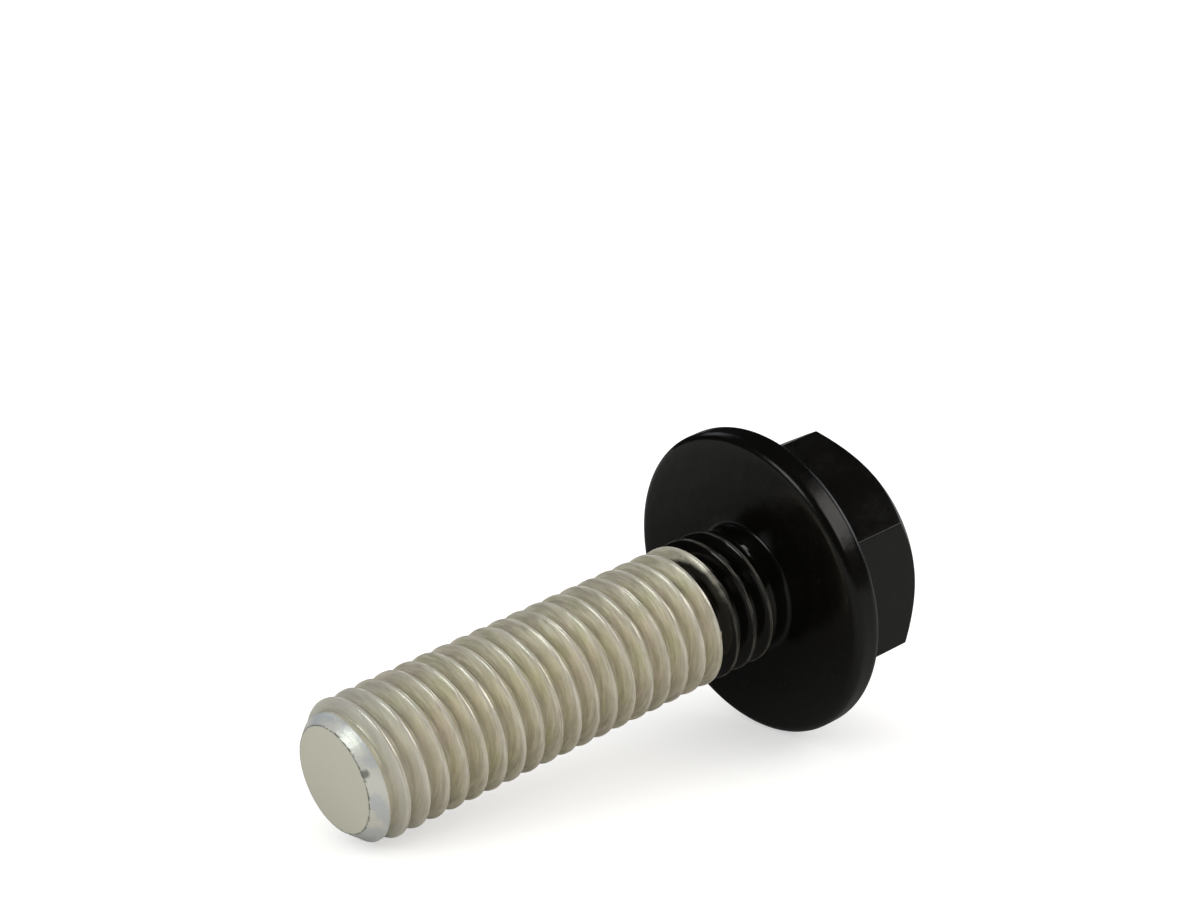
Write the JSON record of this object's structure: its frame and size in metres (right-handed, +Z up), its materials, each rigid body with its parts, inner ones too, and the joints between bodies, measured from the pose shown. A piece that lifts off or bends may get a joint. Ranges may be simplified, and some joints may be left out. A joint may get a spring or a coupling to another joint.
{
  "type": "flange bolt",
  "caption": "Hexagon flange bolt, metric, fully threaded, head and neck in black paint over a zinc-plated shank, lying at rest.",
  "frame": {"origin": "middle of the bounding box in plan, on the ground that the bolt lies on", "axes": "+Z up; the bolt's axis is in the XZ plane, with the head towards +X and 10.10 degrees above level; the tip points to -X"},
  "size_m": [0.0368, 0.0178, 0.0178],
  "materials": {
    "zinc_plate": "satin zinc plate, faintly iridescent",
    "black_paint": "gloss black coat on head, flange, neck and first threads"
  },
  "bodies": {
    "root": {"flange_bolt": "zinc_plate"}
  },
  "joints": []
}
